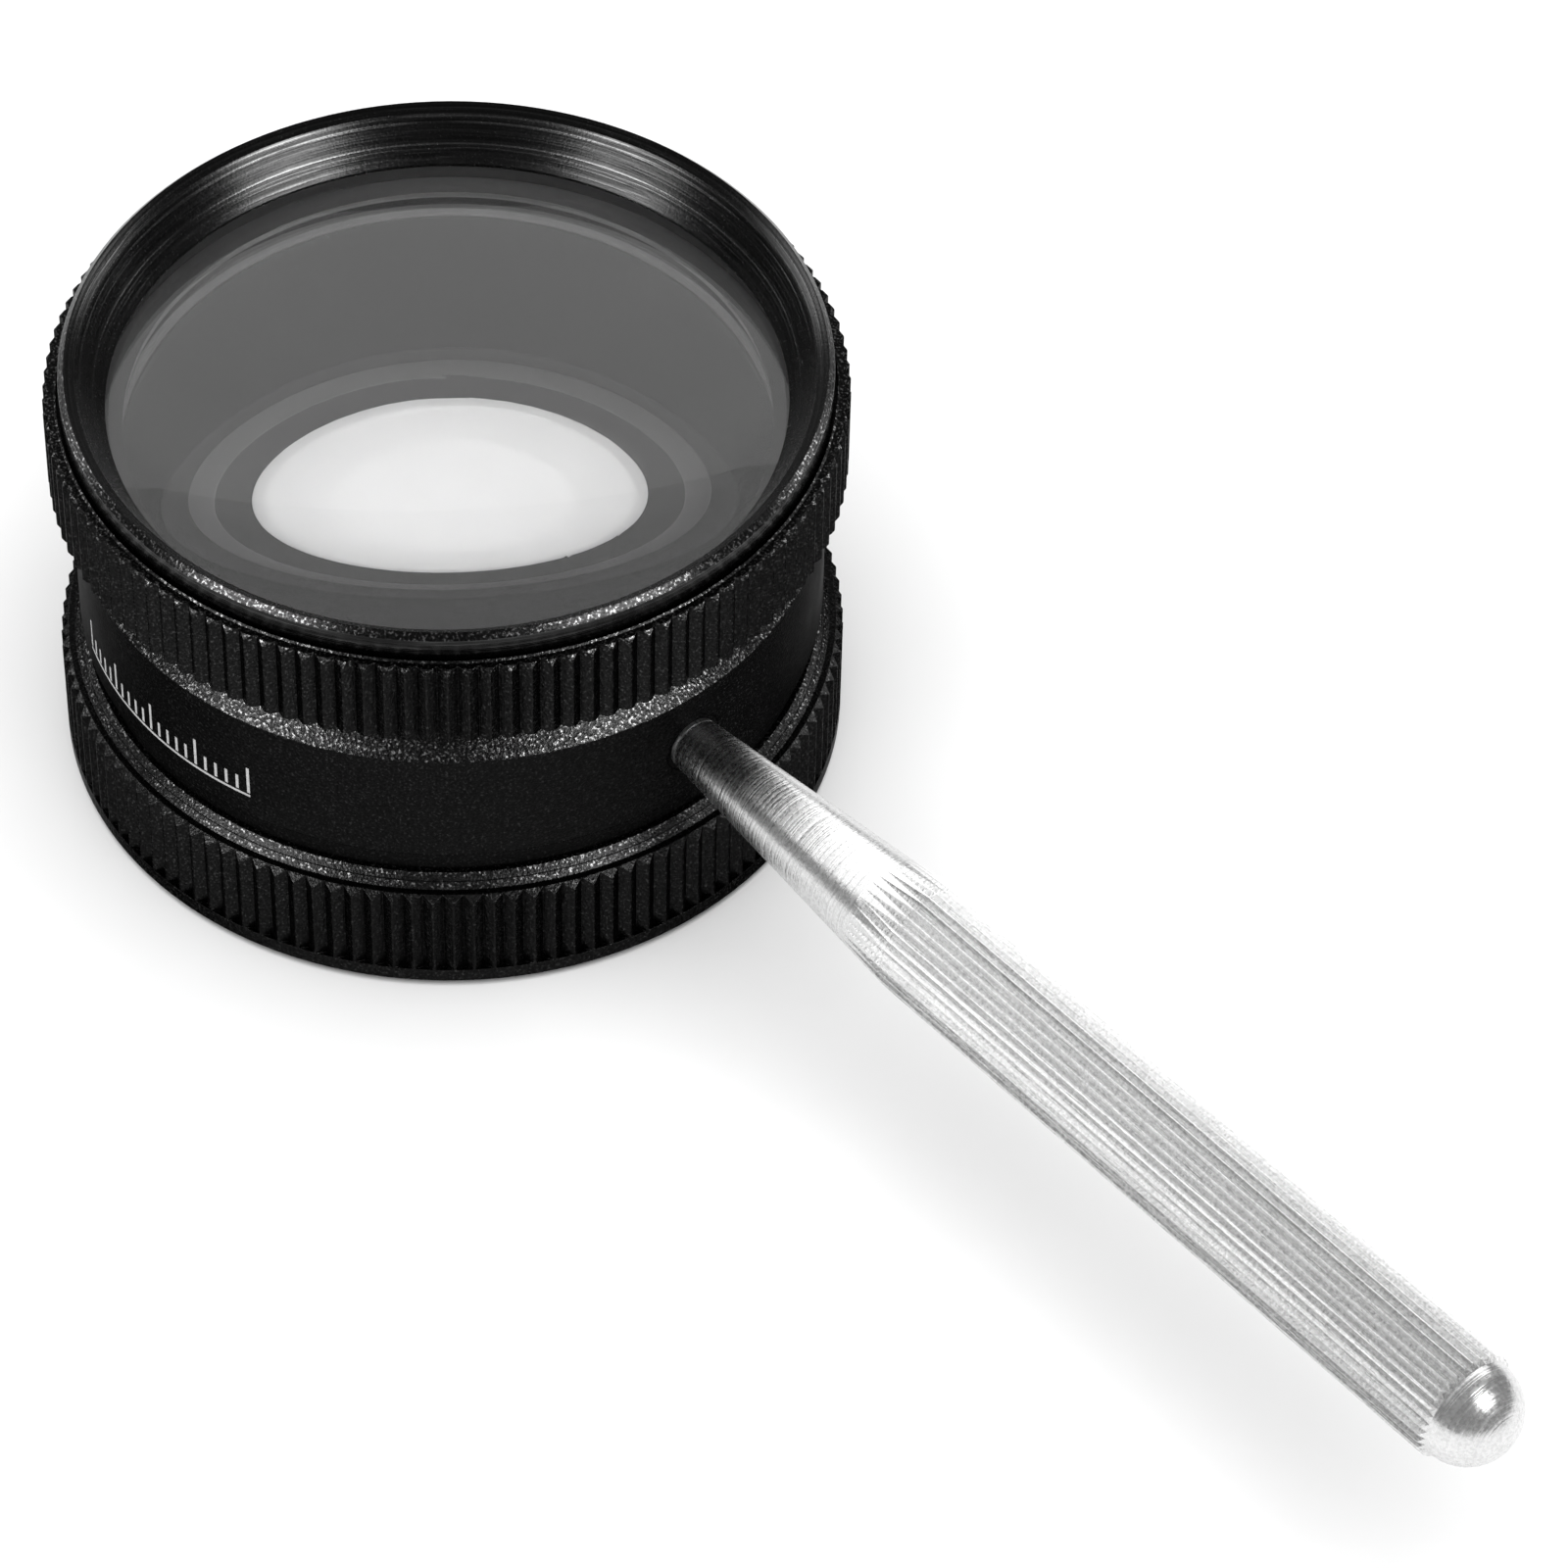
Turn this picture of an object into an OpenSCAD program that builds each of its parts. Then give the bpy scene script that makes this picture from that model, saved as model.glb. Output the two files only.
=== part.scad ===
// Stand loupe: a short cylindrical barrel on a knurled foot ring, a knurled eye
// ring that carries two lenses and a funnel-shaped bezel, and a screwed-in handle.
// All sizes in millimetres. Z is the optical axis and z = 0 is the table.
// The handle points along +X.

/* [Barrel] */
// radius of the smooth satin band around the barrel
band_r = 27.9; // [27.7:0.05:28.1]
// height of the band's lower edge above the table
band_bottom_z = 12.6; // [12.2:0.1:13]
// height where the band turns into the upper chamfer
band_top_z = 22.5; // [22.2:0.1:22.7]
// width of the 45 degree chamfer above the band
band_chamfer = 1.3; // [1:0.05:1.4]
// radius of the recessed neck under the band
neck_r = 27.2; // [27:0.05:27.3]
// radius of the clear bore through the barrel
barrel_bore_r = 24.6; // [24.4:0.05:24.7]

/* [Foot ring] */
// outer radius over the knurl crests of both rings
knurl_r = 29.48; // [29.4:0.02:29.6]
// height of the foot ring's knurled shoulder
foot_shoulder_z = 9.45; // [9.3:0.05:9.5]
// height of the smooth band under the foot ring's knurl
foot_smooth_h = 1.75; // [1.4:0.05:2.2]
// height of the foot ring's stepped collar
foot_collar_z = 10.4; // [10.3:0.05:10.45]
// radius of the window in the foot ring's table face
foot_window_r = 25.44; // [25.3:0.02:25.5]

/* [Eye ring] */
// height of the eye ring's lower edge
eye_bottom_z = 26.2; // [26:0.05:26.4]
// height of the eye ring's upper lip
eye_lip_z = 33.5; // [33.3:0.05:33.6]
// number of knurl teeth around each ring
knurl_teeth = 124; // [110:2:136]
// depth of the knurl grooves
knurl_depth = 0.55; // [0.45:0.01:0.6]

/* [Eye bezel] */
// height of the bezel's rim, the top of the whole loupe
rim_z = 35.8; // [35.6:0.05:36]
// outer radius of the bezel's rim
rim_r = 28.27; // [28.2:0.01:28.3]
// radius at the top of the eye funnel
funnel_top_r = 27.05; // [26.9:0.05:27.2]
// radius at the bottom of the eye funnel
funnel_bottom_r = 25; // [24.9:0.05:25.1]
// height of the funnel's lower edge
funnel_bottom_z = 31.95; // [31.9:0.05:32.05]

/* [Upper lens] */
// radius of the upper lens
upper_lens_r = 25.5; // [25.4:0.05:25.5]
// height where the upper lens's domed top meets its rim
upper_lens_edge_z = 31.3; // [31.1:0.05:31.35]
// thickness of the upper lens's rim
upper_lens_rim = 3; // [2.8:0.1:3.1]
// radius of curvature of the upper lens's domed top
upper_lens_curve = 145; // [130:5:200]

/* [Lower lens] */
// radius of the lower lens
lower_lens_r = 24.2; // [24:0.05:24.25]
// thickness of the lower lens's rim
lower_lens_rim = 4; // [3.8:0.1:4.1]
// radius of curvature of the lower lens's domed underside
lower_lens_curve = 103.5; // [90:0.5:120]
// air gap between the two lenses' flat faces
lens_gap = 0.8; // [0.7:0.05:0.9]

/* [Handle] */
// height of the handle's axis above the table
handle_z = 17.55; // [17.4:0.05:17.7]
// radius of the handle's neck where it meets the barrel
handle_neck_r = 2.1; // [2:0.05:2.3]
// outer radius over the crests of the handle's fluted grip
grip_r = 4.28; // [4.2:0.02:4.3]
// distance from the optical axis to the end of the handle's cone
cone_end_x = 52.9; // [50:0.1:55]
// distance from the optical axis to the centre of the handle's domed end
grip_end_x = 107.35; // [95:0.1:110]
// number of flutes around the grip
grip_flutes = 36; // [30:1:40]
// depth of the grip flutes
flute_depth = 0.37; // [0.3:0.01:0.4]

/* [Hidden] */
$fn = 96;

// how far a cutting shape runs past the surface that it cuts
overcut = 1;

// running clearance between a screwed spigot and its socket
thread_gap = 0.05;
// gap between two turned faces that stop against each other
stop_gap = 0.05;

// knurl: the V flanks meet at the root radius; the crests keep a narrow land
knurl_root_r = knurl_r - knurl_depth;
knurl_crest_land = 0.13;
knurl_pitch = 2 * PI * knurl_r / knurl_teeth;
knurl_tip_r = knurl_root_r
    + knurl_depth * knurl_pitch / (knurl_pitch - knurl_crest_land);
shoulder_drop = 0.45;
groove_end_drop = 0.2;

// foot ring: window lip, thread bore and collar
foot_thread_r = 26.7;
foot_lip_h = 0.9;
foot_lip_slope = 0.31;
foot_lip_top_r = foot_window_r + foot_lip_slope;
foot_edge_chamfer = 0.6;
collar_top_r = 27.6;
collar_step_r = 28.05;
collar_low_r = 28.45;
collar_chamfer = 0.4;
collar_groove = 0.12;

// barrel ends and thread socket for the eye ring
barrel_bottom_z = 4.3;
barrel_top_r = band_r - band_chamfer;
barrel_top_z = 24.3;
socket_r = 25.65;
socket_bottom_z = 19.6;
socket_chamfer = 0.4;
spigot_r = foot_thread_r - thread_gap;

// O-ring in the groove of the barrel's lower spigot
o_groove_r = 26.1;
o_groove_z = 5.6;
o_groove_w = 0.8;
o_ring_inner_play = 0.02;
o_ring_outer_play = 0.04;
o_ring_inner_r = o_groove_r + o_ring_inner_play;
o_ring_outer_r = foot_thread_r - o_ring_outer_play;
o_ring_w = o_groove_w - 2 * stop_gap;

// eye ring
eye_shoulder_r = 26.4;
eye_spigot_r = socket_r - thread_gap;
eye_spigot_bottom_z = 21;
bezel_thread_r = 27.4;
bezel_seat_z = 30.6;
eye_shoulder_chamfer = 0.28;
lip_inner_r = 28.5;
lip_land = 0.02;
lip_rise = 0.14;
edge_break = 0.2;

// lens stack inside the eye ring, from the top down
lens_play = 0.1;
lens_fn = 360;
upper_lens_low_z = upper_lens_edge_z - upper_lens_rim;
upper_bore_r = upper_lens_r + lens_play;
lower_lens_top_z = upper_lens_low_z - lens_gap;
lower_lens_edge_z = lower_lens_top_z - lower_lens_rim;
lower_bore_r = lower_lens_r + lens_play;
spacer_inner_r = 23.6;
spacer_play = 0.03;
seal_space = 0.4;
lens_ledge_z = lower_lens_edge_z - seal_space;
lens_ledge_r = 23.3;
seal_setback = 0.2;
seal_inner_r = lens_ledge_r + seal_setback;
seal_play = 0.02;
seal_outer_drop = 0.04;
seal_inner_drop = 0.21;

// eye bezel
rim_chamfer = 0.45;
rim_dish = 0.5;
bezel_bore_play = 0.14;
bezel_wall_r = upper_lens_r + bezel_bore_play;
bezel_bottom_z = bezel_seat_z + stop_gap;
bezel_skirt_r = bezel_thread_r - thread_gap;
bezel_flange_z = 32.6;
groove_floor_z = 32.5;

// handle
spotface_r = 2.45;
spotface_depth = 0.2;
spotface_x = band_r - spotface_depth;
stud_r = 1.6;
stud_hole_r = stud_r + thread_gap;
stud_tip_x = 24.9;
stud_root_x = 36;
stud_root_hole_x = 36.5;
stud_seat_play = 0.02;
stud_seat_r = stud_r + stud_seat_play;
washer_r = 2.05;
washer_t = 0.3;
washer_bore_play = 0.06;
washer_bore_r = stud_r + washer_bore_play;
grip_base_x = spotface_x + washer_t + stop_gap;
base_break = 0.15;
flute_root_r = grip_r - flute_depth;
flute_pitch = 2 * PI * grip_r / grip_flutes;
flute_land = 0.06;
flute_tip_r = flute_root_r + flute_depth * flute_pitch / (flute_pitch - flute_land);

// height of a spherical cap with the given curvature and rim radius
function sagitta(curve, rim) = curve - sqrt(curve * curve - rim * rim);

module turned(profile) {
    rotate_extrude($fn = 180)
        polygon(profile);
}

// prism with a V groove at each of n teeth, along Z
module toothed_prism(root_r, tip_r, n, z_low, z_high) {
    translate([0, 0, z_low])
        linear_extrude(height = z_high - z_low)
            polygon([
                for (i = [0 : 2 * n - 1])
                    let (a = i * 180 / n, r = i % 2 == 0 ? root_r : tip_r)
                        [r * cos(a), r * sin(a)]
            ]);
}

// knurled foot ring with its collar, thread bore and window lip
module lower_ring() {
    color([0.06, 0.06, 0.065])
        intersection() {
            turned([
                [foot_window_r, 0],
                [knurl_r - foot_edge_chamfer, 0],
                [knurl_r, foot_edge_chamfer],
                [knurl_r, foot_shoulder_z - shoulder_drop],
                [knurl_root_r, foot_shoulder_z],
                [collar_low_r, foot_shoulder_z],
                [collar_low_r - collar_chamfer, foot_shoulder_z + collar_chamfer],
                [collar_step_r, foot_shoulder_z + collar_chamfer + collar_groove],
                [collar_top_r, foot_collar_z],
                [foot_thread_r, foot_collar_z],
                [foot_thread_r, foot_lip_h],
                [foot_lip_top_r, foot_lip_h]
            ]);
            union() {
                toothed_prism(knurl_root_r, knurl_tip_r, knurl_teeth,
                              foot_smooth_h - overcut, foot_collar_z + overcut);
                turned([
                    [0, -overcut],
                    [knurl_r + overcut, -overcut],
                    [knurl_r + overcut, foot_smooth_h],
                    [knurl_r, foot_smooth_h],
                    [knurl_root_r, foot_smooth_h - groove_end_drop],
                    [0, foot_smooth_h - groove_end_drop]
                ]);
            }
        }
}

// O-ring that drags in the foot ring's thread bore and holds the height set
module foot_o_ring() {
    color([0.03, 0.03, 0.03])
        turned([
            [o_ring_inner_r, o_groove_z + stop_gap],
            [o_ring_outer_r, o_groove_z + stop_gap],
            [o_ring_outer_r, o_groove_z + stop_gap + o_ring_w],
            [o_ring_inner_r, o_groove_z + stop_gap + o_ring_w]
        ]);
}

// barrel tube with band, neck, both screw joints and the handle's hole
module barrel() {
    color([0.07, 0.07, 0.075])
        difference() {
            turned([
                [barrel_bore_r, barrel_bottom_z],
                [spigot_r, barrel_bottom_z],
                [spigot_r, o_groove_z],
                [o_groove_r, o_groove_z],
                [o_groove_r, o_groove_z + o_groove_w],
                [spigot_r, o_groove_z + o_groove_w],
                [spigot_r, foot_collar_z + stop_gap],
                [neck_r, foot_collar_z + stop_gap],
                [neck_r, band_bottom_z],
                [band_r, band_bottom_z],
                [band_r, band_top_z],
                [barrel_top_r, band_top_z + band_chamfer],
                [barrel_top_r, barrel_top_z],
                [socket_r + socket_chamfer, barrel_top_z],
                [socket_r, barrel_top_z - socket_chamfer],
                [socket_r, socket_bottom_z],
                [barrel_bore_r, socket_bottom_z]
            ]);
            translate([spotface_x, 0, handle_z])
                rotate([0, 90, 0])
                    cylinder(r = spotface_r, h = overcut);
            translate([barrel_bore_r - overcut, 0, handle_z])
                rotate([0, 90, 0])
                    cylinder(r = stud_hole_r, h = band_r - barrel_bore_r + 2 * overcut);
        }
}

// knurled eye ring: stepped lens cell, screw spigot and lip
module upper_ring() {
    color([0.06, 0.06, 0.065])
        intersection() {
            turned([
                [lens_ledge_r, eye_spigot_bottom_z],
                [eye_spigot_r, eye_spigot_bottom_z],
                [eye_spigot_r, barrel_top_z + stop_gap],
                [eye_shoulder_r, barrel_top_z + stop_gap],
                [eye_shoulder_r, eye_bottom_z],
                [knurl_r - edge_break, eye_bottom_z],
                [knurl_r, eye_bottom_z + edge_break],
                [knurl_r, eye_lip_z - eye_shoulder_chamfer],
                [knurl_r - eye_shoulder_chamfer, eye_lip_z],
                [lip_inner_r + lip_land + lip_rise, eye_lip_z],
                [lip_inner_r + lip_land, eye_lip_z + lip_rise],
                [lip_inner_r, eye_lip_z + lip_rise],
                [lip_inner_r, groove_floor_z],
                [bezel_thread_r, groove_floor_z],
                [bezel_thread_r, bezel_seat_z],
                [upper_bore_r, bezel_seat_z],
                [upper_bore_r, lower_lens_top_z],
                [lower_bore_r, lower_lens_top_z],
                [lower_bore_r, lens_ledge_z],
                [lens_ledge_r, lens_ledge_z]
            ]);
            toothed_prism(knurl_root_r, knurl_tip_r, knurl_teeth,
                          eye_spigot_bottom_z - overcut, eye_lip_z + overcut);
        }
}

// eye bezel: rim and funnel, screwed into the eye ring above the lens
module eye_bezel() {
    color([0.05, 0.05, 0.055])
        turned([
            [bezel_wall_r, bezel_bottom_z],
            [bezel_skirt_r, bezel_bottom_z],
            [bezel_skirt_r, bezel_flange_z],
            [rim_r, bezel_flange_z],
            [rim_r, rim_z - rim_chamfer],
            [rim_r - rim_chamfer, rim_z],
            [funnel_top_r, rim_z - rim_dish],
            [funnel_bottom_r, funnel_bottom_z],
            [funnel_bottom_r, funnel_bottom_z - edge_break],
            [bezel_wall_r, funnel_bottom_z - edge_break]
        ]);
}

// upper lens: domed above, flat below
module upper_lens() {
    sag = sagitta(upper_lens_curve, upper_lens_r);
    color([0.85, 0.9, 0.9, 0.35])
        intersection() {
            translate([0, 0, upper_lens_low_z])
                cylinder(r = upper_lens_r, h = upper_lens_rim + sag + overcut);
            translate([0, 0, upper_lens_edge_z + sag - upper_lens_curve])
                sphere(r = upper_lens_curve, $fn = lens_fn);
        }
}

// thin ring that holds the two lenses apart
module lens_spacer() {
    color([0.05, 0.05, 0.055])
        turned([
            [spacer_inner_r, lower_lens_top_z + spacer_play],
            [upper_lens_r, lower_lens_top_z + spacer_play],
            [upper_lens_r, upper_lens_low_z - spacer_play],
            [spacer_inner_r, upper_lens_low_z - spacer_play]
        ]);
}

// lower lens: flat above, domed below
module lower_lens() {
    sag = sagitta(lower_lens_curve, lower_lens_r);
    color([0.85, 0.9, 0.9, 0.35])
        intersection() {
            translate([0, 0, lower_lens_edge_z - sag - overcut])
                cylinder(r = lower_lens_r, h = lower_lens_rim + sag + overcut);
            translate([0, 0, lower_lens_edge_z - sag + lower_lens_curve])
                sphere(r = lower_lens_curve, $fn = lens_fn);
        }
}

// seal ring on the ledge under the lower lens
module lens_seal() {
    color([0.03, 0.03, 0.03])
        turned([
            [seal_inner_r, lens_ledge_z + seal_play],
            [lower_lens_r, lens_ledge_z + seal_play],
            [lower_lens_r, lower_lens_edge_z - seal_outer_drop],
            [seal_inner_r, lower_lens_edge_z - seal_inner_drop]
        ]);
}

// thin washer between the handle's neck and the barrel
module handle_washer() {
    color([0.2, 0.2, 0.21])
        translate([spotface_x + stop_gap / 2, 0, handle_z])
            rotate([0, 90, 0])
                difference() {
                    cylinder(r = washer_r, h = washer_t);
                    translate([0, 0, -overcut])
                        cylinder(r = washer_bore_r, h = washer_t + 2 * overcut);
                }
}

// screw stud fixed in the handle
module handle_stud() {
    color([0.6, 0.6, 0.62])
        translate([stud_tip_x, 0, handle_z])
            rotate([0, 90, 0])
                turned([
                    [0, 0],
                    [stud_r - edge_break, 0],
                    [stud_r, edge_break],
                    [stud_r, stud_root_x - stud_tip_x],
                    [0, stud_root_x - stud_tip_x]
                ]);
}

// handle: cone neck, fluted grip and domed end
module handle_grip() {
    length = grip_end_x - grip_base_x;
    cone_l = cone_end_x - grip_base_x;
    color([0.85, 0.85, 0.86])
        translate([grip_base_x, 0, handle_z])
            rotate([0, 90, 0])
                difference() {
                    union() {
                        intersection() {
                            turned([
                                [0, 0],
                                [handle_neck_r - base_break, 0],
                                [handle_neck_r, base_break],
                                [grip_r, cone_l],
                                [grip_r, length - flute_depth],
                                [flute_root_r, length],
                                [0, length]
                            ]);
                            toothed_prism(flute_root_r, flute_tip_r, grip_flutes,
                                          -overcut, length + overcut);
                        }
                        translate([0, 0, length])
                            sphere(r = flute_root_r);
                    }
                    translate([0, 0, -overcut])
                        cylinder(r = stud_seat_r,
                                 h = stud_root_hole_x - grip_base_x + overcut);
                }
}

lower_ring();
foot_o_ring();
barrel();
upper_ring();
eye_bezel();
upper_lens();
lens_spacer();
lower_lens();
lens_seal();
handle_washer();
handle_stud();
handle_grip();
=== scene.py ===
import math

import bmesh
import bpy
from mathutils import Matrix, Vector


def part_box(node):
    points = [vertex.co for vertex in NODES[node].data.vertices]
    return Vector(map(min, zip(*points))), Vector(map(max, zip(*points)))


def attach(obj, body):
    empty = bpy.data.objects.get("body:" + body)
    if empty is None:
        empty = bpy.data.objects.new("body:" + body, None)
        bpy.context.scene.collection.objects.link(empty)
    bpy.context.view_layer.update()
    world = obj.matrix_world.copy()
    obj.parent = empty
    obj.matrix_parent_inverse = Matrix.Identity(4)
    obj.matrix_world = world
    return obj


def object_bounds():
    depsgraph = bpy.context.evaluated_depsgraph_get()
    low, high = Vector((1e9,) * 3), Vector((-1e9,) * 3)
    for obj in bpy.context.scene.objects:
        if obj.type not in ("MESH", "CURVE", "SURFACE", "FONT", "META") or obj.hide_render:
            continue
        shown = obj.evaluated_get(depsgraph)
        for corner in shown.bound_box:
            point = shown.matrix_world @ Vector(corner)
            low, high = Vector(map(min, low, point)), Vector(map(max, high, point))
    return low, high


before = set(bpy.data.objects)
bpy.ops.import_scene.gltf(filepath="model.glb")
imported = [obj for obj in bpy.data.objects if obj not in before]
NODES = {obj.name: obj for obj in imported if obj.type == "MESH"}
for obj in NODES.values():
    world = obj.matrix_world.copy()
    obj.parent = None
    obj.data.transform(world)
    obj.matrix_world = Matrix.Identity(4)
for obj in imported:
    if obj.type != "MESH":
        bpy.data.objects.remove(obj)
CAD_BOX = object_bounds()
MM = 0.001
WHITE = (1.0, 1.0, 1.0, 1.0)

# ---------------------------------------------------------------- camera
# Fitted to the circles that share the loupe's axis. FOCAL_PX and IMAGE_PX are the focal length and the
# picture's width in pixels, PITCH and ROLL are in radians, and the loupe's origin is SIDE_MM to the right
# of, RISE_MM above and DEPTH_MM in front of the camera.

FOCAL_PX = 7000.0
IMAGE_PX = 1600.0
SENSOR_MM = 36.0
PITCH = 0.8267786
ROLL = 0.0271325
SIDE_MM = -25.175
RISE_MM = 6.830
DEPTH_MM = 525.176
HEADING = math.radians(47.81)

TURN = Matrix.Rotation(HEADING, 3, "Z")
AWAY = TURN @ Vector((0.0, 1.0, 0.0))
ACROSS = TURN @ Vector((1.0, 0.0, 0.0))
UP = Vector((0.0, 0.0, 1.0))


def make_camera():
    look = TURN @ Vector((0.0, math.cos(PITCH), -math.sin(PITCH)))
    lift = ACROSS.cross(look)
    right = ACROSS * math.cos(ROLL) + lift * math.sin(ROLL)
    top = lift * math.cos(ROLL) - ACROSS * math.sin(ROLL)
    place = (right * -SIDE_MM - top * RISE_MM - look * DEPTH_MM) * MM
    data = bpy.data.cameras.new("camera")
    data.sensor_width = SENSOR_MM
    data.lens = FOCAL_PX / IMAGE_PX * SENSOR_MM
    data.clip_start = 0.01
    data.clip_end = 20.0
    cam = bpy.data.objects.new("camera", data)
    bpy.context.scene.collection.objects.link(cam)
    axes = Matrix((right, top, -look)).transposed()
    cam.matrix_world = Matrix.Translation(place) @ axes.to_4x4()
    bpy.context.scene.camera = cam


make_camera()

# ---------------------------------------------------------------- lights

LIGHT_CENTRE = Vector((0.0, 0.0, 20.0 * MM))


def aim(around, rise):
    """Unit vector out from the object, by two angles in degrees.

    Around is measured from straight behind it, clockwise as seen from above, and rise from the floor.
    """
    a = math.radians(around)
    e = math.radians(rise)
    return (AWAY * math.cos(a) + ACROSS * math.sin(a)) * math.cos(e) + UP * math.sin(e)


def add_light(name, kind, around, rise, distance, power):
    way = aim(around, rise)
    data = bpy.data.lights.new(name, kind)
    data.energy = power
    light = bpy.data.objects.new(name, data)
    bpy.context.scene.collection.objects.link(light)
    light.location = LIGHT_CENTRE + way * distance
    light.rotation_euler = (-way).to_track_quat("-Z", "Y").to_euler()
    light.visible_camera = False
    return light


def area_light(name, around, rise, distance, size, power):
    """Area light of size (width, height) that faces the object."""
    light = add_light(name, "AREA", around, rise, distance, power)
    light.data.shape = "RECTANGLE"
    light.data.size, light.data.size_y = size
    return light


def keep_out_of_glass(light):
    """The light is seen neither in a reflection nor through the lenses."""
    light.visible_glossy = False
    light.visible_transmission = False


def light_only(name, lights, pieces):
    """Limit the lights to the named pieces."""
    lit = bpy.data.collections.new(name)
    for piece in pieces:
        lit.objects.link(NODES[piece])
    for light in lights:
        light.light_linking.receiver_collection = lit


backdrop = area_light("backdrop", around=-4.5, rise=30.0, distance=1.3, size=(1.19, 1.27), power=1.5)
backdrop.data.shape = "ELLIPSE"
right_front = area_light("right_front", around=130.0, rise=27.0, distance=1.2, size=(0.6, 0.7), power=24.0)
left_front = area_light("left_front", around=-128.0, rise=27.0, distance=1.2, size=(0.6, 0.7), power=19.0)
overhead = area_light("overhead", around=180.0, rise=80.0, distance=1.4, size=(2.2, 2.2), power=44.0)
keep_out_of_glass(overhead)

# The lamp stands in for the light that the lenses pass down to the floor inside the foot ring.
LAMP_HEIGHT = 0.2
LAMP_REACH = 0.025
lamp = add_light("lens_lamp", "SPOT", around=0.0, rise=90.0, distance=LAMP_HEIGHT, power=0.8)
lamp.data.spot_size = 2.0 * math.atan(LAMP_REACH / LAMP_HEIGHT)
lamp.data.spot_blend = 0.1
lamp.data.shadow_soft_size = 0.004
keep_out_of_glass(lamp)

handle_fill = area_light("handle_fill", around=-28.0, rise=46.0, distance=1.2, size=(3.0, 1.2), power=17.5)
dome_glint = area_light("dome_glint", around=123.0, rise=52.0, distance=1.2, size=(0.5, 0.4), power=5.0)
light_only("handle_lit", (handle_fill, dome_glint), ["handle_grip"])
light_only("black_lit", (right_front, left_front), [name for name in NODES if name != "handle_grip"])
right_back = area_light("right_back", around=62.0, rise=24.0, distance=1.2, size=(0.5, 0.6), power=7.0)
left_back = area_light("left_back", around=-62.0, rise=24.0, distance=1.2, size=(0.5, 0.6), power=7.0)
light_only("metal_lit", (right_back, left_back), ["lower_ring", "barrel", "upper_ring", "eye_bezel"])

world = bpy.data.worlds.new("studio")
world.use_nodes = True
sky = world.node_tree.nodes["Background"]
sky.inputs["Color"].default_value = WHITE
sky.inputs["Strength"].default_value = 0.3
bpy.context.scene.world = world
bpy.context.scene.view_settings.view_transform = "Standard"

# ---------------------------------------------------------------- material helpers


class Shade:
    """A material with short calls for adding and joining its nodes."""

    def __init__(self, name):
        self.mat = bpy.data.materials.new(name)
        self.mat.use_nodes = True
        self.tree = self.mat.node_tree
        self.bsdf = self.tree.nodes["Principled BSDF"]

    def node(self, kind, **values):
        made = self.tree.nodes.new(kind)
        for key, value in values.items():
            setattr(made, key, value)
        return made

    def feed(self, value, socket):
        """Link the socket to another one, or set it to a constant."""
        if isinstance(value, bpy.types.NodeSocket):
            self.tree.links.new(value, socket)
        else:
            socket.default_value = value

    def wire(self, **values):
        """Feed sockets of the main shader; an underscore stands for a space in a socket's name."""
        for key, value in values.items():
            self.feed(value, self.bsdf.inputs[key.replace("_", " ")])

    def math(self, kind, *values):
        made = self.node("ShaderNodeMath", operation=kind)
        for socket, value in zip(made.inputs, values):
            self.feed(value, socket)
        return made.outputs[0]

    def place(self):
        return self.node("ShaderNodeTexCoord").outputs["Object"]

    def split(self, vector):
        made = self.node("ShaderNodeSeparateXYZ")
        self.feed(vector, made.inputs[0])
        return made.outputs

    def join(self, *values):
        made = self.node("ShaderNodeCombineXYZ")
        for socket, value in zip(made.inputs, values):
            self.feed(value, socket)
        return made.outputs[0]

    def scaled(self, vector, factors):
        made = self.node("ShaderNodeVectorMath", operation="MULTIPLY")
        self.feed(vector, made.inputs[0])
        self.feed(factors, made.inputs[1])
        return made.outputs[0]

    def noise(self, vector, scale, detail=2.0, rough=0.6):
        made = self.node("ShaderNodeTexNoise")
        self.feed(scale, made.inputs["Scale"])
        self.feed(detail, made.inputs["Detail"])
        self.feed(rough, made.inputs["Roughness"])
        self.feed(vector, made.inputs["Vector"])
        return made.outputs["Fac"]

    def ramp(self, value, stops, greys):
        """Greys at the stops, which are positions from 0 to 1."""
        made = self.node("ShaderNodeValToRGB")
        line = made.color_ramp
        while len(line.elements) < len(stops):
            line.elements.new(0.5)
        for element, stop, grey in zip(line.elements, stops, greys):
            element.position = stop
            element.color = (grey, grey, grey, 1.0)
        self.feed(value, made.inputs["Fac"])
        return made.outputs["Color"]

    def bump(self, height, strength, distance, under=None):
        """Normal with the relief of height on it, over the normal under it if one is given."""
        made = self.node("ShaderNodeBump")
        self.feed(strength, made.inputs["Strength"])
        self.feed(distance, made.inputs["Distance"])
        self.feed(height, made.inputs["Height"])
        if under is not None:
            self.feed(under, made.inputs["Normal"])
        return made.outputs["Normal"]

    def pick(self, kind, mask, off, on):
        """Off where the mask is 0 and on where it is 1; kind is RGBA or FLOAT."""
        made = self.node("ShaderNodeMix", data_type=kind)
        first, result = (6, 2) if kind == "RGBA" else (2, 0)
        self.feed(mask, made.inputs[0])
        self.feed(off, made.inputs[first])
        self.feed(on, made.inputs[first + 1])
        return made.outputs[result]

    def pick_shader(self, mask, off, on):
        made = self.node("ShaderNodeMixShader")
        for socket, value in zip(made.inputs, (mask, off, on)):
            self.feed(value, socket)
        return made.outputs[0]


def length(s, a, b):
    """Length of the vector (a, b)."""
    return s.math("SQRT", s.math("ADD", s.math("MULTIPLY", a, a), s.math("MULTIPLY", b, b)))


def between(s, value, low, high):
    return s.math("MULTIPLY", s.math("GREATER_THAN", value, low), s.math("LESS_THAN", value, high))


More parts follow.
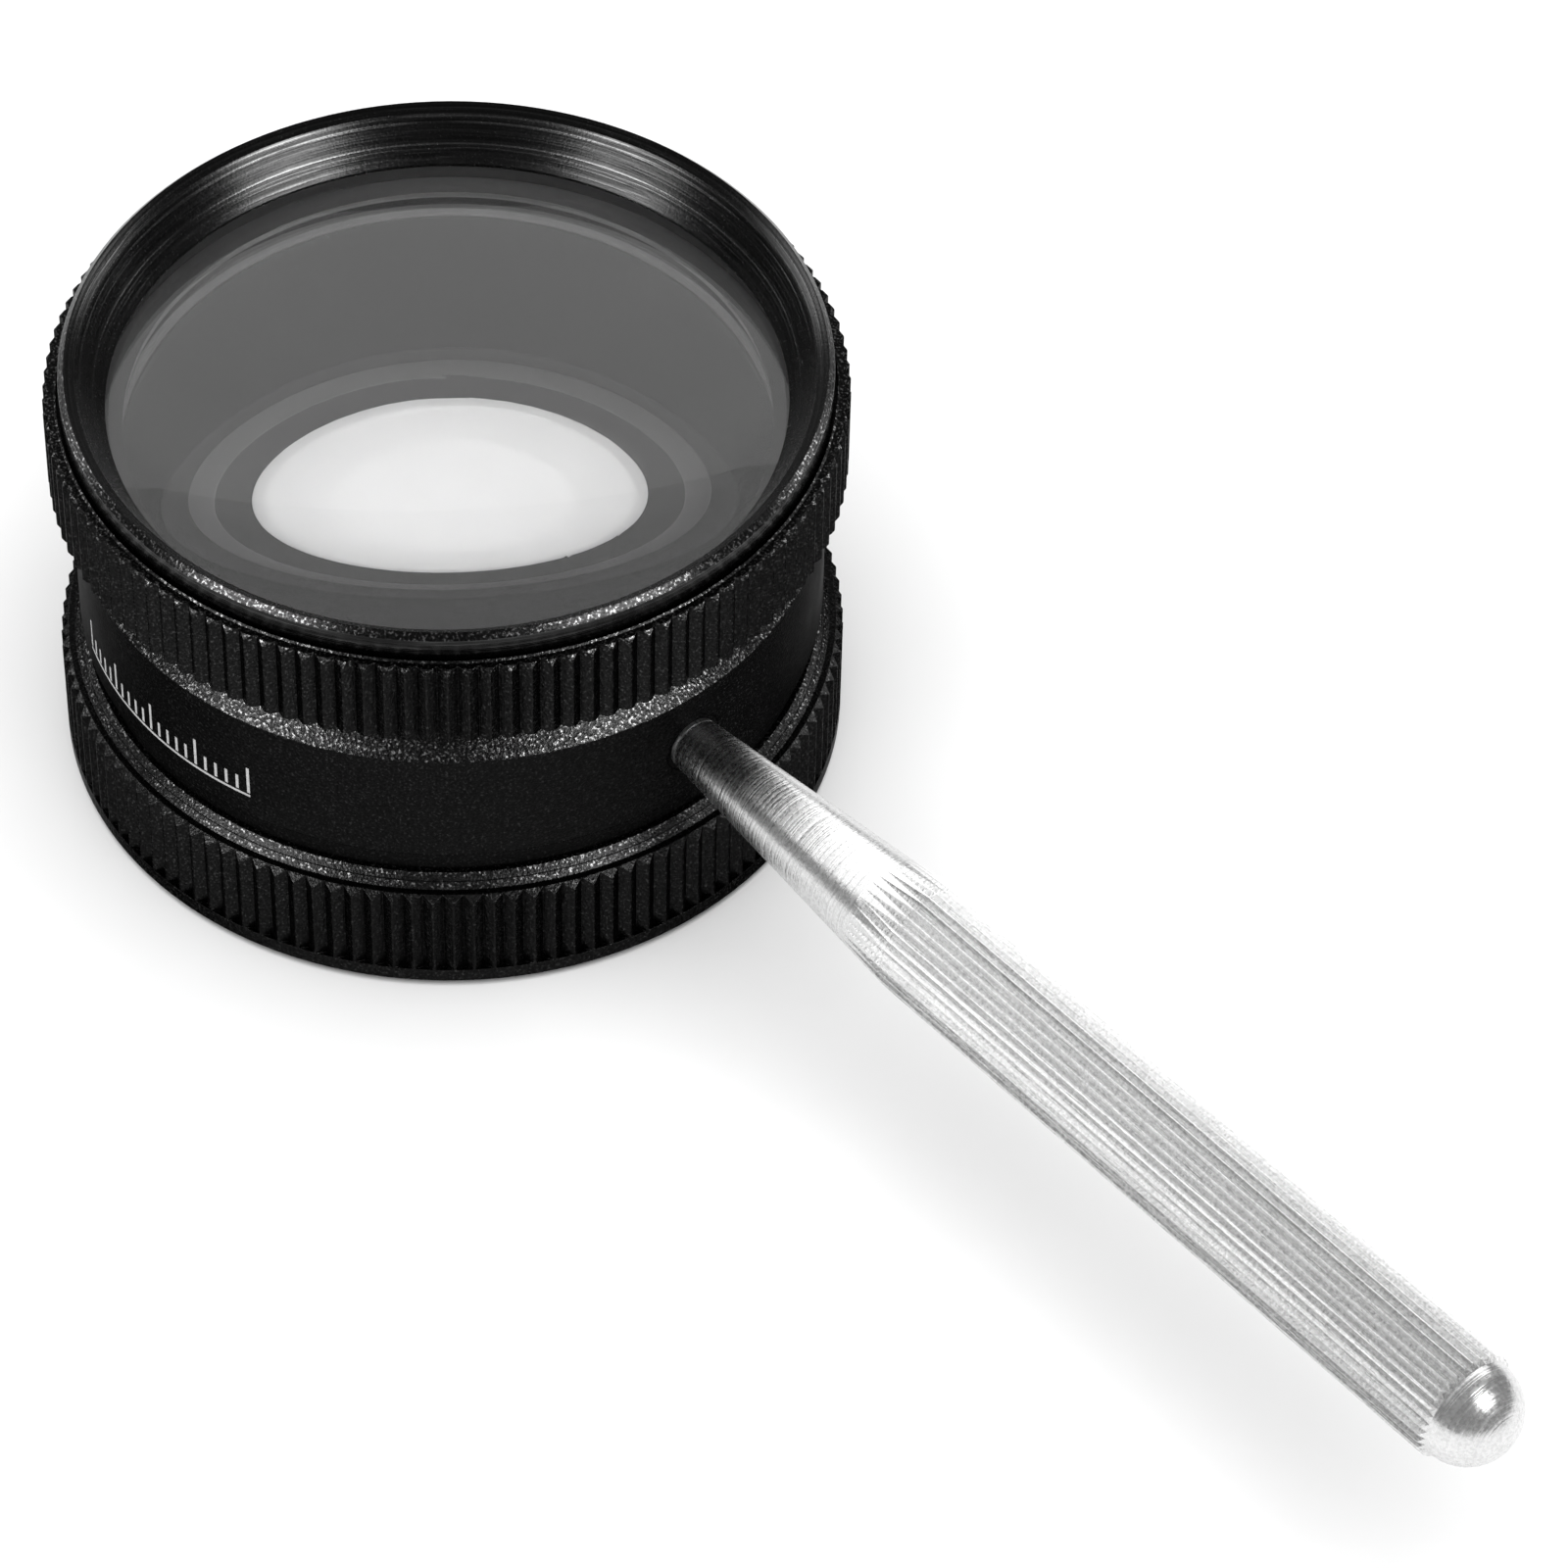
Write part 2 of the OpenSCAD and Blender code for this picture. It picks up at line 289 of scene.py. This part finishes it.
def around_axis(s):
    """Object coordinates, then the height and the radius about the loupe's axis."""
    p = s.place()
    x, y, z = s.split(p)
    return p, z, length(s, x, y)


def fine_grain(s, p):
    return s.noise(p, 5200.0, 1.5)


def sparkle(s, p):
    return s.noise(p, 4600.0, 1.0, 0.5)


def soft_edges(s, radius):
    """Normal that rounds every sharp edge by the given radius."""
    made = s.node("ShaderNodeBevel", samples=6)
    s.feed(radius, made.inputs["Radius"])
    return made.outputs["Normal"]


DULL_PAINT = (0.004, 0.004, 0.004, 1.0)
DULL_ROUGHNESS = 0.9


def dull_inside(s, radius, limit, colour, roughness):
    """Metal outside the radius limit and dull paint inside it.

    Returns the colour, the roughness and the mask of the metal part.
    """
    outer = s.math("GREATER_THAN", radius, limit)
    s.wire(Metallic=outer)
    dark = s.pick("RGBA", outer, DULL_PAINT, colour)
    return dark, s.pick("FLOAT", outer, DULL_ROUGHNESS, roughness), outer


# ---------------------------------------------------------------- materials

EDGE_TINT = (0.4, 0.4, 0.4, 1.0)
EDGE_LEVEL = 0.1
EDGE_RADIUS = 0.15 * MM
KNURL_EDGE_RADIUS = 0.06 * MM
RELIEF = 0.04 * MM

# Positions of ramp stops: an even spread, the grain of black metal and the sparks on its worn edges.
SPREAD = (0.3, 0.7)
GRAIN = (0.35, 0.6, 0.72)
SPARKS = (0.42, 0.58, 0.70)

BARREL_BORE_R = 26.2 * MM
BARREL_CHAMFER_LOW = 22.45 * MM


def blasted_black():
    """Barrel: blasted band, worn chamfer above it, dull bore."""
    s = Shade("black_blasted")
    p, z, radius = around_axis(s)
    grain = fine_grain(s, p)
    spark = sparkle(s, p)
    patch = s.noise(p, 260.0, 2.0, 0.5)
    chamfer = s.math("GREATER_THAN", z, BARREL_CHAMFER_LOW)
    colour, roughness, outer = dull_inside(
        s, radius, BARREL_BORE_R,
        s.pick("RGBA", chamfer,
               s.ramp(grain, GRAIN, (0.006, 0.010, 0.028)),
               s.ramp(spark, SPARKS, (0.008, 0.020, 0.12))),
        s.pick("FLOAT", chamfer,
               s.ramp(patch, SPREAD, (0.42, 0.50)),
               s.ramp(grain, SPREAD, (0.22, 0.40))),
    )
    height = s.math("MULTIPLY", s.math("ADD", grain, s.math("MULTIPLY", spark, chamfer)), outer)
    relief = s.bump(height, 1.0, RELIEF, soft_edges(s, EDGE_RADIUS))
    s.wire(Base_Color=colour, Roughness=roughness, Normal=relief)
    s.wire(Specular_IOR_Level=EDGE_LEVEL, Specular_Tint=EDGE_TINT)
    return s.mat


RING_BORE_R = 26.8 * MM
COLLAR_R = 28.6 * MM
LOWER_RIDGE = (9.58 * MM, 9.84 * MM)
UPPER_RIDGE = (10.18 * MM, 10.45 * MM)
SHOULDER_LOW = 33.0 * MM
LIP_R = 26.72 * MM
LIP_TOP = 2.0 * MM
LIP_SHELF = (0.88 * MM, 0.92 * MM)
# Painted light: how far the foot's inner lip and its shelf are lifted towards white, standing in for the
# light seen there through the lenses.
LIP_PAINTED_LIGHT = 0.03
SHELF_PAINTED_LIGHT = 0.11


def knurled_black():
    """Both rings: knurled, worn on the collar and the shoulder, dull bore with a pale lip at the foot; the
    pale lip is painted light.
    """
    s = Shade("black_knurled")
    p, z, radius = around_axis(s)
    grain = fine_grain(s, p)
    drawn = s.noise(s.scaled(p, (1.0, 1.0, 0.12)), 5200.0)
    spark = sparkle(s, p)
    height = s.math("ADD", grain, s.math("MULTIPLY", drawn, 0.6))
    ridges = s.math("MAXIMUM", between(s, z, *LOWER_RIDGE), between(s, z, *UPPER_RIDGE))
    collar = s.math("MULTIPLY", ridges, s.math("LESS_THAN", radius, COLLAR_R))
    shoulder = s.math("GREATER_THAN", z, SHOULDER_LOW)
    worn = s.math("MAXIMUM", collar, shoulder)
    colour, roughness, outer = dull_inside(
        s, radius, RING_BORE_R,
        s.pick("RGBA", worn,
               s.ramp(grain, GRAIN, (0.008, 0.015, 0.05)),
               s.ramp(spark, SPARKS, (0.008, 0.018, 0.12))),
        s.ramp(drawn, (0.3, 0.75), (0.24, 0.40)),
    )
    # Painted light: the inner lip and the shelf at the foot are made paler than the dull bore, standing in
    # for the light seen there through the lenses.
    lip = s.math("MULTIPLY", s.math("LESS_THAN", radius, LIP_R), s.math("LESS_THAN", z, LIP_TOP))
    shelf = between(s, z, *LIP_SHELF)
    pale = s.math("MULTIPLY", lip, s.math("ADD", LIP_PAINTED_LIGHT, s.math("MULTIPLY", shelf, SHELF_PAINTED_LIGHT)))
    colour_with_painted_lip_light = s.pick("RGBA", pale, colour, WHITE)
    relief = s.bump(s.math("MULTIPLY", height, outer), 1.0, RELIEF, soft_edges(s, KNURL_EDGE_RADIUS))
    s.wire(Base_Color=colour_with_painted_lip_light, Roughness=roughness, Normal=relief)
    s.wire(Specular_IOR_Level=EDGE_LEVEL, Specular_Tint=EDGE_TINT)
    return s.mat


RIM_CHAMFER = 0.46 * MM
RIM_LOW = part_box("eye_bezel")[1].z - RIM_CHAMFER
RIM_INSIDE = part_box("eye_bezel")[1].x - RIM_CHAMFER
RING_WANDER = 0.4 * MM


def turned_black():
    """Eye bezel: turning rings that wander a little, worn chamfer round the rim."""
    s = Shade("black_turned")
    p, z, radius = around_axis(s)
    wander = s.math("MULTIPLY", s.noise(p, 120.0, 1.0, 0.5), RING_WANDER)
    rings = s.noise(s.join(s.math("ADD", radius, wander), z, 0.0), 3400.0, 2.0, 0.7)
    grain = fine_grain(s, p)
    height = s.math("ADD", rings, s.math("MULTIPLY", grain, 0.25))
    spark = sparkle(s, p)
    rim = s.math("MULTIPLY", s.math("GREATER_THAN", z, RIM_LOW), s.math("GREATER_THAN", radius, RIM_INSIDE))
    s.wire(
        Base_Color=s.pick("RGBA", rim,
                          s.ramp(rings, (0.38, 0.55, 0.68), (0.010, 0.018, 0.06)),
                          s.ramp(spark, SPARKS, (0.010, 0.025, 0.14))),
        Roughness=s.ramp(grain, SPREAD, (0.18, 0.28)),
        Normal=s.bump(height, 0.8, 0.05 * MM, soft_edges(s, EDGE_RADIUS)),
        Metallic=1.0,
    )
    return s.mat


def plain(name, scale, greys, roughness, relief=None, **constants):
    """Even material with one grain in its colour, its roughness and, where a depth is given, its relief."""
    s = Shade(name)
    grain = s.noise(s.place(), scale)
    s.wire(Base_Color=s.ramp(grain, SPREAD, greys), Roughness=s.ramp(grain, SPREAD, roughness))
    if relief is not None:
        s.wire(Normal=s.bump(grain, 0.3, relief))
    s.wire(**constants)
    return s.mat


def spacer_grey():
    return plain("spacer_grey", 3000.0, (0.008, 0.014), (0.5, 0.65), 0.02 * MM)


def seal_rubber():
    return plain("seal_rubber", 4000.0, (0.010, 0.022), (0.7, 0.85), 0.03 * MM)


def turned_steel():
    return plain("turned_steel", 6000.0, (0.35, 0.5), (0.25, 0.4), 0.02 * MM, Metallic=1.0)


def mark_paint():
    return plain("mark_grey", 6000.0, (0.40, 0.62), (0.45, 0.6), Specular_IOR_Level=0.3)


def pale_floor():
    s = Shade("pale_floor")
    grain = s.noise(s.place(), 40.0, 3.0)
    s.wire(Base_Color=s.ramp(grain, SPREAD, (0.80, 0.82)), Roughness=0.9, Specular_IOR_Level=0.1)
    return s.mat


HANDLE_Z = (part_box("handle_grip")[0].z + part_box("handle_grip")[1].z) / 2.0
DOME_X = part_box("handle_grip")[1].x - 3.91 * MM
NECK_X = 53.0 * MM


def satin_handle():
    """Handle: lengthwise lines on the grip, turned neck and dome."""
    s = Shade("satin_aluminium")
    p = s.place()
    x, y, z = s.split(p)
    radius = length(s, y, s.math("SUBTRACT", z, HANDLE_Z))
    lines = s.noise(s.scaled(p, (0.04, 1.0, 1.0)), 6500.0, 3.0, 0.65)
    turned = s.noise(s.join(x, radius, 0.0), 5000.0)
    grain = s.noise(p, 3600.0, 1.5)
    ends = s.math("MAXIMUM", s.math("LESS_THAN", x, NECK_X), s.math("GREATER_THAN", x, DOME_X))
    height = s.math("ADD", s.pick("FLOAT", ends, lines, turned), s.math("MULTIPLY", grain, 0.4))
    s.wire(
        Base_Color=s.ramp(grain, (0.36, 0.5, 0.6), (0.62, 0.70, 0.75)),
        Roughness=s.ramp(height, (0.5, 0.9), (0.20, 0.34)),
        Normal=s.bump(height, 0.8, RELIEF),
        Metallic=1.0,
    )
    return s.mat


RIM_PAINT = (0.01, 0.01, 0.01, 1.0)
RIM_FACING = 0.4


def lens_glass():
    """Clear glass that lets lamps through, with paint on the faces turned sideways: the lens's edge."""
    s = Shade("lens_glass")
    haze = s.noise(s.place(), 300.0, 2.0, 0.5)
    s.wire(Base_Color=s.ramp(haze, SPREAD, (0.985, 1.0)), Transmission_Weight=1.0, IOR=1.52, Roughness=0.0)
    clear = s.node("ShaderNodeBsdfTransparent").outputs[0]
    shadow = s.node("ShaderNodeLightPath").outputs["Is Shadow Ray"]
    glass = s.pick_shader(shadow, s.bsdf.outputs[0], clear)
    facing = s.split(s.node("ShaderNodeTexCoord").outputs["Normal"])[2]
    rim = s.math("LESS_THAN", s.math("ABSOLUTE", facing), RIM_FACING)
    paint = s.node("ShaderNodeBsdfDiffuse")
    s.feed(RIM_PAINT, paint.inputs["Color"])
    whole = s.pick_shader(rim, glass, paint.outputs[0])
    s.feed(whole, s.tree.nodes["Material Output"].inputs["Surface"])
    return s.mat


FINISHES = (
    (knurled_black, ("lower_ring", "upper_ring")),
    (blasted_black, ("barrel",)),
    (turned_black, ("eye_bezel",)),
    (spacer_grey, ("lens_spacer",)),
    (lens_glass, ("upper_lens", "lower_lens")),
    (seal_rubber, ("lens_seal", "foot_o_ring")),
    (turned_steel, ("handle_washer", "handle_stud")),
    (satin_handle, ("handle_grip",)),
)

for make_finish, names in FINISHES:
    mat = make_finish()
    for name in names:
        slots = NODES[name].data.materials
        slots.clear()
        slots.append(mat)

# ---------------------------------------------------------------- scale marks on the band

BAND_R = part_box("barrel")[1].y
MARK_Z = 15.0 * MM
MARK_SINK = 0.03 * MM
MARK_PROUD = 0.02 * MM
MARK_WIDTH = 0.24 * MM
MARK_LONG = 2.6 * MM
MARK_SHORT = 1.4 * MM
LINE_WIDTH = 0.2 * MM
LINE_STEPS = 60
FIRST_MARK = math.radians(-111.0)
MARK_STEP = math.radians(2.0)
MARK_COUNT = 21
LONG_EVERY = 5


def curved_slab(bm, start, end, low, high, steps):
    """Closed slab that follows the band between two angles and two heights."""
    rows = []
    for i in range(steps + 1):
        a = start + (end - start) * i / steps
        out = Vector((math.cos(a), math.sin(a), 0.0))
        row = []
        for r, z in ((-MARK_SINK, low), (MARK_PROUD, low), (MARK_PROUD, high), (-MARK_SINK, high)):
            row.append(bm.verts.new(out * (BAND_R + r) + UP * z))
        rows.append(row)
    for here, there in zip(rows, rows[1:]):
        for k in range(4):
            n = (k + 1) % 4
            bm.faces.new((here[k], there[k], there[n], here[n]))
    bm.faces.new(rows[0])
    bm.faces.new(rows[-1][::-1])


def scale_marks():
    bm = bmesh.new()
    half = MARK_WIDTH / BAND_R / 2.0
    for i in range(MARK_COUNT):
        a = FIRST_MARK + i * MARK_STEP
        tall = MARK_LONG if i % LONG_EVERY == 0 else MARK_SHORT
        curved_slab(bm, a - half, a + half, MARK_Z, MARK_Z + tall, 1)
    last = FIRST_MARK + (MARK_COUNT - 1) * MARK_STEP
    line_top = MARK_Z - LINE_WIDTH
    curved_slab(bm, FIRST_MARK - half, last + half, line_top - LINE_WIDTH, line_top, LINE_STEPS)
    bmesh.ops.recalc_face_normals(bm, faces=bm.faces)
    mesh = bpy.data.meshes.new("scale_marks")
    bm.to_mesh(mesh)
    bm.free()
    mesh.materials.append(mark_paint())
    marks = bpy.data.objects.new("scale_marks", mesh)
    bpy.context.scene.collection.objects.link(marks)
    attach(marks, "barrel")


scale_marks()

# ---------------------------------------------------------------- floor

FLOOR_SIDE = 3.0
FLOOR_GAP = 0.02 * MM


def lay_floor():
    """Flat floor just under the loupe."""
    half = FLOOR_SIDE / 2.0
    corners = [(-half, -half, 0.0), (half, -half, 0.0), (half, half, 0.0), (-half, half, 0.0)]
    mesh = bpy.data.meshes.new("floor")
    mesh.from_pydata(corners, [], [(0, 1, 2, 3)])
    floor = bpy.data.objects.new("floor", mesh)
    bpy.context.scene.collection.objects.link(floor)
    floor.location.z = CAD_BOX[0][2] - FLOOR_GAP
    mesh.materials.append(pale_floor())


lay_floor()
